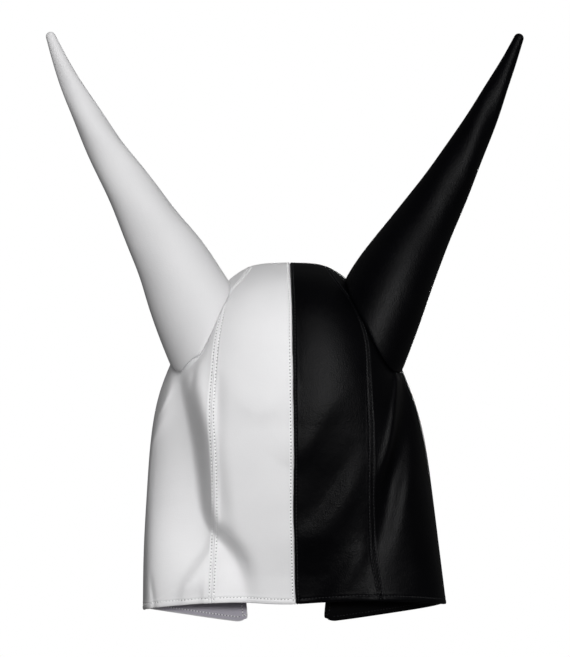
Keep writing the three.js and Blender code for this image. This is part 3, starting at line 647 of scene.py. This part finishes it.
def backing_material(name, dark, pale):
    """Knitted backing on the inside of the leather: fine crossed ribs."""
    mat, tree, bsdf, where = new_material(name)
    turned = node(tree, "ShaderNodeMapping")
    turned.inputs["Rotation"].default_value = (0.3, 0.2, 0.78)
    tree.links.new(where, turned.inputs["Vector"])
    warp = texture(tree, "ShaderNodeTexWave", where, in_Scale=420.0, in_Distortion=0.6, bands_direction="Z")
    weft = texture(tree, "ShaderNodeTexWave", turned.outputs[0], in_Scale=420.0, in_Distortion=0.6, bands_direction="X")
    knit = node(tree, "ShaderNodeMath", operation="ADD")
    tree.links.new(warp.outputs["Fac"], knit.inputs[0])
    tree.links.new(weft.outputs["Fac"], knit.inputs[1])
    half = node(tree, "ShaderNodeMath", operation="MULTIPLY")
    half.inputs[1].default_value = 0.5
    tree.links.new(knit.outputs[0], half.inputs[0])
    tree.links.new(ramp(tree, half.outputs[0], [(0.1, dark), (0.9, pale)]), bsdf.inputs["Base Color"])
    bump = node(tree, "ShaderNodeBump", in_Strength=0.35, in_Distance=0.0003)
    tree.links.new(half.outputs[0], bump.inputs["Height"])
    tree.links.new(bump.outputs[0], bsdf.inputs["Normal"])
    bsdf.inputs["Roughness"].default_value = 0.85
    bsdf.inputs["Specular IOR Level"].default_value = 0.2
    return mat


def thread_material(name, dark, pale, rough):
    mat, tree, bsdf, where = new_material(name)
    twist = texture(tree, "ShaderNodeTexNoise", where, in_Scale=3000.0, in_Detail=2.0)
    tree.links.new(ramp(tree, twist.outputs["Fac"], [(0.35, dark), (0.65, pale)]), bsdf.inputs["Base Color"])
    bump = node(tree, "ShaderNodeBump", in_Strength=0.4, in_Distance=0.0001)
    tree.links.new(twist.outputs["Fac"], bump.inputs["Height"])
    tree.links.new(bump.outputs[0], bsdf.inputs["Normal"])
    bsdf.inputs["Roughness"].default_value = rough
    return mat


def floor_material():
    mat, tree, bsdf, where = new_material("floor_pale")
    cloud = texture(tree, "ShaderNodeTexNoise", where, in_Scale=3.0, in_Detail=2.0)
    tree.links.new(ramp(tree, cloud.outputs["Fac"], [(0.3, (0.80, 0.80, 0.80)), (0.7, (0.83, 0.83, 0.83))]), bsdf.inputs["Base Color"])
    bsdf.inputs["Roughness"].default_value = 0.9
    bsdf.inputs["Emission Color"].default_value = (1, 1, 1, 1)
    bsdf.inputs["Emission Strength"].default_value = 0.32
    return mat


LEATHER = {
    "left": leather_material("leather_white", (0.765, 0.762, 0.772), (0.80, 0.797, 0.805), 0.50, 0.16, 0.22),
    "right": leather_material("leather_black", (0.0006, 0.0006, 0.0010), (0.0012, 0.0012, 0.0017), 0.40, 0.65, 0.16),
}
# The white horns take a darker copy of the hood's white leather: painted shade, standing in for less light falling on
# the horns. The black horns use the hood's own black leather.
HORN_LEATHER_SHADED = {
    "left": leather_material("horn_leather_white", (0.685, 0.682, 0.691), (0.715, 0.712, 0.72), 0.50, 0.16, 0.22),
    "right": LEATHER["right"],
}
BACKING = {
    "left": backing_material("backing_white", (0.44, 0.42, 0.48), (0.60, 0.575, 0.64)),
    "right": backing_material("backing_black", (0.0012, 0.0012, 0.0014), (0.0026, 0.0026, 0.003)),
}
THREAD = {
    "left": thread_material("thread_white", (0.90, 0.90, 0.90), (0.96, 0.96, 0.96), 0.5),
    "right": thread_material("thread_black", (0.004, 0.004, 0.005), (0.010, 0.010, 0.012), 0.45),
}
# Needle holes: their near-black colour is painted shade inside the holes.
HOLE_SHADE = {
    "left": thread_material("needle_hole_shade_white", (0.05, 0.05, 0.055), (0.09, 0.09, 0.10), 0.9),
    "right": thread_material("needle_hole_shade_black", (0.001, 0.001, 0.001), (0.002, 0.002, 0.002), 0.9),
}


# ------------------------------------------------------------------ stitches
STITCH, STITCH_GAP, THREAD_R = 1.75, 0.9, 0.46


def stitches(line, normal, lift, hole):
    """Thread and needle holes along a line on the leather, as (points, faces, material) arrays."""
    both = resample(np.concatenate([line, normal], 1), 0.15)
    line, normal = both[:, :3], unit(both[:, 3:])
    at = np.concatenate([[0], np.cumsum(np.linalg.norm(np.diff(line, axis=0), axis=1))])
    pitch = STITCH + STITCH_GAP
    n = int((at[-1] - 0.6) / pitch)
    if n < 1:
        return None
    begin = (at[-1] - n * pitch) / 2
    rings, around = 7, 6
    s = np.linspace(0, 1, rings)
    place = begin + (np.arange(n)[:, None] + (STITCH_GAP / 2 + s[None] * STITCH) / pitch) * pitch
    pick = lambda a, t: np.stack([np.interp(t, at, a[:, k]) for k in range(3)], -1)
    c, up = pick(line, place), unit(pick(normal, place))
    run = unit(np.gradient(c, axis=1))
    across = unit(np.cross(up, run))
    dive = np.sin(np.pi * s) ** 0.5
    c = c + up * (lift - 0.30 + 0.36 * dive)[None, :, None]
    r = THREAD_R * (0.45 + 0.55 * np.sin(np.pi * np.clip(s, 0.04, 0.96)) ** 0.5)
    turn = np.arange(around) * 2 * math.pi / around
    ring = c[:, :, None] + r[None, :, None, None] * (np.cos(turn)[None, None, :, None] * across[:, :, None] * 1.15 + np.sin(turn)[None, None, :, None] * up[:, :, None] * 0.85)
    points = ring.reshape(-1, 3)
    ids = np.arange(n * rings * around).reshape(n, rings, around)
    a, b = ids[:, :-1], ids[:, 1:]
    quads = np.stack([a, np.roll(a, -1, 2), np.roll(b, -1, 2), b], -1).reshape(-1, 4)
    caps = [np.stack([ids[:, 0, (0)], ids[:, 0, 5], ids[:, 0, 4], ids[:, 0, 3]], -1), np.stack([ids[:, 0, 0], ids[:, 0, 3], ids[:, 0, 2], ids[:, 0, 1]], -1),
            np.stack([ids[:, -1, 0], ids[:, -1, 1], ids[:, -1, 2], ids[:, -1, 3]], -1), np.stack([ids[:, -1, 0], ids[:, -1, 3], ids[:, -1, 4], ids[:, -1, 5]], -1)]
    faces = np.concatenate([quads] + caps)
    material = np.zeros(len(faces))
    # a needle hole between stitches: a small closed dimple, flat on the leather, coloured near-black as painted shade
    # inside the hole
    hole_at = begin + np.arange(n + 1) * pitch
    hc, hn = pick(line, hole_at), unit(pick(normal, hole_at))
    hr = unit(np.gradient(hc, axis=0))
    ha = unit(np.cross(hn, hr))
    turn = np.arange(8) * math.pi / 4
    ring = lambda size, height: (hc[:, None] + hn[:, None] * (lift + height) + size * (np.cos(turn)[None, :, None] * hr[:, None] * 0.9 + np.sin(turn)[None, :, None] * ha[:, None]))
    stack = np.stack([ring(0.5 * hole, -0.20), ring(hole, -0.04), ring(0.6 * hole, 0.07)], 1)
    base = len(points)
    hid = base + np.arange((n + 1) * 24).reshape(n + 1, 3, 8)
    a, b = hid[:, :-1], hid[:, 1:]
    side = np.stack([a, np.roll(a, -1, 2), np.roll(b, -1, 2), b], -1).reshape(-1, 4)
    top = np.concatenate([np.stack([hid[:, 2, 0], hid[:, 2, 1], hid[:, 2, 2], hid[:, 2, 3]], -1), np.stack([hid[:, 2, 0], hid[:, 2, 3], hid[:, 2, 4], hid[:, 2, 7]], -1), np.stack([hid[:, 2, 4], hid[:, 2, 5], hid[:, 2, 6], hid[:, 2, 7]], -1)])
    under = np.concatenate([np.stack([hid[:, 0, 3], hid[:, 0, 2], hid[:, 0, 1], hid[:, 0, 0]], -1), np.stack([hid[:, 0, 7], hid[:, 0, 4], hid[:, 0, 3], hid[:, 0, 0]], -1), np.stack([hid[:, 0, 7], hid[:, 0, 6], hid[:, 0, 5], hid[:, 0, 4]], -1)])
    dots = np.concatenate([side, top, under])
    return np.concatenate([points, stack.reshape(-1, 3)]), np.concatenate([faces, dots]), np.concatenate([material, np.ones(len(dots))])


class Thread:
    """Stitch rows of one side, gathered into one mesh."""

    def __init__(self):
        self.points, self.faces, self.material, self.count = [], [], [], 0

    def row(self, line, normal, lift, hole=0.5):
        made = stitches(line, normal, lift, hole)
        if made is None:
            return
        self.points.append(made[0])
        self.faces.append(made[1] + self.count)
        self.material.append(made[2])
        self.count += len(made[0])


thread = {"left": Thread(), "right": Thread()}


def surface_line(places):
    """A line on the folded leather with its normals, from places on the map."""
    p, _ = leather(places)
    e = 0.6
    a = leather(places + np.array([e, 0]))[0] - leather(places - np.array([e, 0]))[0]
    b = leather(places + np.array([0, e]))[0] - leather(places - np.array([0, e]))[0]
    return p, unit(np.cross(a, b))


# ------------------------------------------------------------------ panels
panels = {}
lines = {}                  # seam and edge lines of each side, on the leather

for side, s in sides.items():
    fine = np.linspace(0, 1, 1500)
    lines[side] = {"seam": leather(s.seam(fine))[0]}
lines["centre"] = leather(centre.seam(np.linspace(0, 1, 1500)))[0]


def centre_panel(side):
    s = sides[side]
    crown = RIM / (RIM + FRONT)
    forward = lambda u, back, ahead: np.where(u < crown, back * (1 - u / crown), ahead * (u - crown) / (1 - crown))

    middle = lambda u: centre.seam_beside(centre.seam_at(forward(u, centre.seam(0)[1], FRONT)), JOIN * s.sign)
    rim = lambda u: s.seam_beside(s.seam_at(forward(u, s.seam(0)[1], s.seam(1)[1])), -JOIN)

    def arc(u):
        a, b = middle(np.array([u]))[0], rim(np.array([u]))[0]
        ma, mb = np.hypot(*a), np.hypot(*b)
        ta, tb = math.atan2(a[0], -a[1]), math.atan2(b[0], -b[1])
        return lambda v: on_map(ma + (mb - ma) * v, ta + (tb - ta) * v)

    u = graded(RIM + FRONT, 1.7)
    v = graded(60.0, 1.7)
    nape, forehead = arc(0.0), arc(1.0)
    place = patch(nape, forehead, middle, rim, u, v)
    base, _ = leather(place)
    flip = s.sign > 0
    n = grid_normals(base, flip)
    relief = centre_relief(distance_to(base, lines["centre"])) + seam_relief(distance_to(base, lines[side]["seam"]))
    relief += edge_relief(distance_to(base, resample(leather(nape(np.linspace(0, 1, 200)))[0], 0.4)))
    relief += edge_relief(distance_to(base, resample(leather(forehead(np.linspace(0, 1, 200)))[0], 0.4)))
    outer = base + relief[..., None] * n
    inner = base - WALL * n
    obj = panel_mesh("centre_panel_" + side + "_leather", outer, inner, n, flip, (True, True, False, False), place)
    # stitch rows: beside both seams, and along the nape and the forehead
    t = np.linspace(0.004, 0.996, 1400)
    p, nn = surface_line(centre.seam_beside(t, CENTRE_ROW * s.sign))
    thread[side].row(p, nn, ROW_DEEP)
    p, nn = surface_line(s.seam_beside(t, -SEAM_ROW))
    thread[side].row(p, nn, ROW_DEEP, 0.46)
    for arc_, inward in ((nape, -EDGE_ROW), (forehead, EDGE_ROW)):
        w = np.linspace(0.035, 0.965, 300)
        q = arc_(w)
        run = arc_(w + 0.002) - arc_(w - 0.002)
        q = beside(q, run, np.full(w.shape, inward * s.sign))
        p, nn = surface_line(q)
        thread[side].row(p, nn, ROW_DEEP, 0.62)
        thread[side].row(p - nn * WALL, -nn, 0.0)
    return obj


def side_panel(side):
    s = sides[side]
    sign = s.sign
    apex = float(s.seam_at(0.0))
    top = lambda v: s.seam_beside(apex + (1 - apex) * v, JOIN)
    back = lambda u: s.seam_beside(apex * (1 - u), JOIN)
    stretch = RIM / float(plain_radius(RIM, s.flap_angle))

    def face(u):
        p = s.edge(u)
        m, a = np.hypot(p[:, 0], p[:, 1]), np.arctan2(p[:, 0], -p[:, 1])
        into = np.clip(1 - (RIM - m) / FLAP_CORNER, 0, 1)
        cut = FLAP_CORNER * (1 - np.sqrt(np.clip(1 - into**2, 0, 1))) * 0.55
        a = a - sign * cut * stretch / RIM
        return on_map(m - 0.42 * FLAP_CORNER * np.clip(into - 0.6, 0, 1) / 0.4, a)

    start, end = back(np.array([1.0]))[0], face(np.array([1.0]))[0]
    a0, a1 = math.atan2(start[0], -start[1]), math.atan2(end[0], -end[1])
    m0, m1 = np.hypot(*start), np.hypot(*end)

    def hem(v):
        a = a0 + (a1 - a0) * v
        left = np.abs(a1 - a) * RIM / stretch
        into = np.clip(1 - left / FLAP_CORNER, 0, 1)
        m = m0 + (RIM - m0) * np.clip(v * 4, 0, 1)
        return on_map(m - (RIM - m1) * into**2, a)

    u = graded(250.0, 1.8)
    v = graded(215.0, 1.5, middle=lambda a, b: np.concatenate([np.arange(a + 1.5, 92, 1.5), np.linspace(93.5, b, 40)[:-1]]))
    place = patch(top, hem, back, face, u, v)
    base, _ = leather(place)
    flip = sign < 0
    n = grid_normals(base, flip)
    fine = np.linspace(0, 1, 900)
    hem_line = resample(leather(hem(fine))[0], 0.4)
    face_line = resample(leather(face(fine))[0], 0.4)
    relief = seam_relief(distance_to(base, lines[side]["seam"]))
    relief += edge_relief(np.minimum(distance_to(base, hem_line), distance_to(base, face_line)))
    outer = base + relief[..., None] * n
    inner = base - WALL * n
    obj = panel_mesh("side_panel_" + side + "_leather", outer, inner, n, flip, (False, True, False, True), place)
    t = np.linspace(0.004, 0.996, 1400)
    p, nn = surface_line(s.seam_beside(t, SEAM_ROW))
    thread[side].row(p, nn, ROW_DEEP, 0.46)
    # one row along the hem, round the flap's corner and up the face
    w = np.linspace(0.012, 1, 900)
    q1 = hem(w)
    run1 = hem(w) - hem(w - 0.002)
    w2 = np.linspace(1, 0.02, 700)
    q2 = face(w2)
    run2 = face(w2 - 0.002) - face(w2)
    q1 = beside(q1, run1, np.full(len(q1), -EDGE_ROW * sign))
    q2 = beside(q2, run2, np.full(len(q2), -EDGE_ROW * sign))
    p1, n1 = surface_line(q1)
    p2, n2 = surface_line(q2)
    keep1 = distance_to(p1, face_line) > 3.0
    keep2 = distance_to(p2, hem_line) > 3.0
    for p, nn in ((p1[keep1], n1[keep1]), (p2[keep2], n2[keep2])):
        thread[side].row(p, nn, ROW_DEEP, 0.62)
        thread[side].row(p - nn * WALL, -nn, 0.0)
    return obj


for side in sides:
    panels["centre_panel_" + side] = centre_panel(side)
    panels["side_panel_" + side] = side_panel(side)


# ------------------------------------------------------------------ horns
def outside(p):
    """How far outside the hood points are, measured level, above LOWER_FROM."""
    z = p[..., 2]
    m = reach_at(np.maximum(0.01, CROWN_TOP - z))
    depth = np.zeros(z.shape)
    for _ in range(4):
        # take the fold away again, and measure from the plain wall
        y = p[..., 1] + depth
        angle = np.arctan2(p[..., 0], -y)
        r = plain_radius(m, angle)
        place = on_map(m, angle)
        depth = 0.3 * depth + 0.7 * fold_height(plain(place)) * at_back(plain_normal(place))
    d = np.hypot(p[..., 0], p[..., 1] + depth) - r
    return np.where(z > CROWN_TOP, 1e3, d)


def horn(side):
    sign = sides[side].sign
    z = HORN[:, 0]
    out = spline(z, sign * HORN[:, 1 if side == "left" else 2])
    forward = spline(z, HORN[:, 3])
    dia = spline(z, HORN[:, 4 if side == "left" else 5])
    middle = lambda h: np.stack([out(h), forward(h), h], -1)
    end = z[-1] - TIP_RADIUS * 0.4
    turns = np.arange(160) * 2 * math.pi / 160

    def ring(h, turn, r):
        axis = unit(middle(h + 0.5) - middle(h - 0.5))
        ahead = np.array([0.0, 1.0, 0.0]) - axis[..., 1:2] * axis
        ahead = unit(ahead)
        across = np.cross(ahead, axis)
        return middle(h) + r[..., None] * (np.cos(turn)[..., None] * across + np.sin(turn)[..., None] * ahead)

    def lowest(turn, radius, gap):
        low, high = np.full(turn.shape, z[0]), np.full(turn.shape, 60.0)
        for _ in range(44):
            h = (low + high) / 2
            inside = outside(ring(h, turn, radius(h))) < gap
            low, high = np.where(inside, h, low), np.where(inside, high, h)
        return (low + high) / 2

    inset = 1.5
    foot = lowest(turns, lambda h: dia(h) / 2 - inset, 0.35)
    even = np.hanning(11) / np.hanning(11).sum()
    foot = np.convolve(np.pad(foot, 5, mode="wrap"), even, mode="valid")
    steps = graded(250.0, 2.2, fine=0.5, zone=7.0, ends=(True, False))
    rows = []
    for k in range(1, 7):
        share = k / 7
        h = lowest(turns, lambda h: (dia(h) / 2 - inset) * share, 0.35)
        rows.append(ring(h, turns, (dia(h) / 2 - inset) * share))
    apex_point = ring(lowest(np.zeros(1), lambda h: 0 * h, 0.35), np.zeros(1), np.zeros(1))[0]
    for t in steps:
        h = foot + (end - foot) * t
        above = h - foot
        r = dia(h) / 2
        r = r - inset * (1 - np.sqrt(np.clip(1 - (1 - np.clip(above / 4.0, 0, 1)) ** 2, 0, 1)))
        # stuffing: a fuller root, long soft lumps, and fine gathers near the foot and the tip
        slack = smooth(h, -60, 20) * (1 - smooth(h, 120, 185))
        r = r + slack * (0.45 * np.sin(h / 17.0 + 2.1 * np.sin(turns + 0.6 * sign)) * np.sin(turns * 2 + h / 41.0) + 0.25 * np.sin(h / 9.3 + 3 * turns + 1.3))
        # plain closing seam on the far side
        away = (np.mod(turns - math.pi / 2 + math.pi, 2 * math.pi) - math.pi) * r
        r = r - 0.55 * bell(away, 0, 0.7) * smooth(r, 4, 9) + 0.25 * bell(np.abs(away), 1.7, 1.0) * smooth(r, 6, 12)
        rows.append(ring(h, turns, r))
    axis = unit(middle(np.array(z[-1])) - middle(np.array(z[-1] - 1)))
    last = dia(np.array(end)) / 2
    for share, rise in ((0.97, 0.2), (0.9, 0.42), (0.78, 0.62), (0.6, 0.8), (0.38, 0.92), (0.18, 0.98)):
        pucker = 1 + 0.05 * np.sin(turns * 5 + 0.7) * (1 - share)
        rows.append(ring(np.full(turns.shape, end), turns, np.full(turns.shape, last * share) * pucker) + axis * rise * TIP_RADIUS)
    top_point = middle(np.array(end)) + axis * TIP_RADIUS * 0.97
    n, k = len(turns), len(rows)
    points = np.concatenate([np.array(rows).reshape(-1, 3), [apex_point, top_point]])
    ids = np.arange(n * k).reshape(k, n)
    a, b = ids[:-1], ids[1:]
    quads = np.stack([a, np.roll(a, -1, 1), np.roll(b, -1, 1), b], -1).reshape(-1, 4)
    low = np.stack([np.full(n, n * k), np.roll(ids[0], -1), ids[0]], -1)
    high = np.stack([np.full(n, n * k + 1), ids[-1], np.roll(ids[-1], -1)], -1)
    mesh = bpy.data.meshes.new("horn_" + side + "_stuffed")
    faces = [tuple(f) for f in quads.tolist()] + [tuple(f) for f in low.tolist()] + [tuple(f) for f in high.tolist()]
    mesh.from_pydata([tuple(p) for p in (points * MM).tolist()], [], faces)
    mesh.polygons.foreach_set("use_smooth", np.ones(len(faces), bool))
    mesh.validate()
    obj = bpy.data.objects.new(mesh.name, mesh)
    bpy.context.collection.objects.link(obj)
    return obj


for side in sides:
    panels["horn_" + side] = horn(side)

# ------------------------------------------------------------------ put together
for name, obj in panels.items():
    side = name.rsplit("_", 1)[1]
    obj.data.materials.append((HORN_LEATHER_SHADED if name.startswith("horn") else LEATHER)[side])
    obj.data.materials.append(BACKING[side])
    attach(obj, "root")
    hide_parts(name)
for side in sides:
    t = thread[side]
    obj = mesh_object("stitches_" + side, np.concatenate(t.points), np.concatenate(t.faces), face_material=np.concatenate(t.material))
    obj.data.materials.append(THREAD[side])
    obj.data.materials.append(HOLE_SHADE[side])
    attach(obj, "root")
    panels["stitches_" + side] = obj

# ------------------------------------------------------------------ floor, light and camera
floor_size, floor_z = 1.05, -0.46
floor = bpy.data.objects.new("floor", bpy.data.meshes.new("floor"))
ring_n = 96
ring_t = np.arange(ring_n) * 2 * math.pi / ring_n
floor.data.from_pydata([(floor_size * math.cos(t), floor_size * math.sin(t), floor_z) for t in ring_t], [], [tuple(range(ring_n))])
floor.data.materials.append(floor_material())
bpy.context.collection.objects.link(floor)
floor.visible_glossy = False
floor.visible_diffuse = False


def area_light(name, azimuth, elevation, distance, size, power, colour=(1, 1, 1), target=(0, 0, -0.09)):
    """Softbox seen from the object: azimuth 0 is the camera's side, plus is to the camera's right."""
    light = bpy.data.lights.new(name, "AREA")
    light.shape, light.size, light.size_y = "RECTANGLE", size[0], size[1]
    light.energy, light.color = power, colour
    obj = bpy.data.objects.new(name, light)
    a, e = math.radians(azimuth), math.radians(elevation)
    to = np.array([math.sin(a) * math.cos(e), -math.cos(a) * math.cos(e), math.sin(e)])
    at = np.array(target) + distance * to
    obj.location = at
    z_axis = to
    x_axis = unit(np.cross([0.0, 0.0, 1.0], z_axis))
    y_axis = np.cross(z_axis, x_axis)
    m = np.eye(4)
    m[:3, 0], m[:3, 1], m[:3, 2], m[:3, 3] = x_axis, y_axis, z_axis, at
    obj.matrix_world = Matrix(m.tolist())
    obj.visible_camera = False
    bpy.context.collection.objects.link(obj)
    return obj


glints = [
    area_light("key_softbox", 26, 16, 2.0, (0.38, 0.48), 9),
    area_light("top_panel", 28, 44, 2.6, (1.2, 0.9), 6),
    area_light("camera_light", 4, 6.5, 2.5, (0.07, 0.05), 9, target=(0, 0, -0.25)),
]
for lamp in glints:
    lamp.visible_diffuse = False
soft = [
    area_light("camera_fill", 6, 6.5, 2.5, (0.9, 0.05), 32, target=(0, 0, -0.25)),
    area_light("top_fill", 0, 40, 2.0, (1.2, 0.8), 19.5, target=(0, 0, -0.08)),
    area_light("face_softbox", 180, 14, 2.6, (1.2, 1.2), 40),
]
for lamp in soft:
    lamp.visible_glossy = False
area_light("face_glint", 172, 3, 2.4, (0.6, 0.5), 14)

# white for the camera; for light, a white wall behind the object and a dark room on the camera's side
world = bpy.data.worlds.new("studio")
bpy.context.scene.world = world
world.use_nodes = True
wt = world.node_tree
wt.nodes.clear()
wo = node(wt, "ShaderNodeOutputWorld")
paths = node(wt, "ShaderNodeLightPath")
white = node(wt, "ShaderNodeBackground")
white.inputs[0].default_value, white.inputs[1].default_value = (1, 1, 1, 1), 1.0
room = node(wt, "ShaderNodeBackground")
around = node(wt, "ShaderNodeTexCoord")
axes = node(wt, "ShaderNodeSeparateXYZ")
wt.links.new(around.outputs["Generated"], axes.inputs[0])
behind = node(wt, "ShaderNodeMapRange", interpolation_type="SMOOTHSTEP")
for key, value in (("From Min", -0.35), ("From Max", 0.40), ("To Min", 0.09), ("To Max", 0.28)):
    behind.inputs[key].default_value = value
wt.links.new(axes.outputs["Y"], behind.inputs["Value"])
dim = node(wt, "ShaderNodeMapRange")
dim.inputs["To Min"].default_value, dim.inputs["To Max"].default_value = 1.0, 0.2
wt.links.new(paths.outputs["Is Glossy Ray"], dim.inputs["Value"])
level = node(wt, "ShaderNodeMath", operation="MULTIPLY")
wt.links.new(behind.outputs[0], level.inputs[0])
wt.links.new(dim.outputs[0], level.inputs[1])
wt.links.new(level.outputs[0], room.inputs[1])
both = node(wt, "ShaderNodeMixShader")
wt.links.new(paths.outputs["Is Camera Ray"], both.inputs[0])
wt.links.new(room.outputs[0], both.inputs[1])
wt.links.new(white.outputs[0], both.inputs[2])
wt.links.new(both.outputs[0], wo.inputs[0])

camera = bpy.data.cameras.new("camera")
camera.sensor_width = 36.0
camera.lens = 36.0 * VIEW_D / (VIEW_H * VIEW_SCALE)
camera.clip_start, camera.clip_end = 0.05, 50
eye = bpy.data.objects.new("camera", camera)
m = np.eye(4)
m[:3, 0], m[:3, 1], m[:3, 2], m[:3, 3] = VIEW_RIGHT, [0, 0, 1], -VIEW_FWD, VIEW_AT * MM
eye.matrix_world = Matrix(m.tolist())
bpy.context.collection.objects.link(eye)
scene = bpy.context.scene
scene.camera = eye
scene.view_settings.view_transform = "Standard"
scene.view_settings.look = "None"
scene.view_settings.exposure = 0.0
scene.view_settings.gamma = 1.0
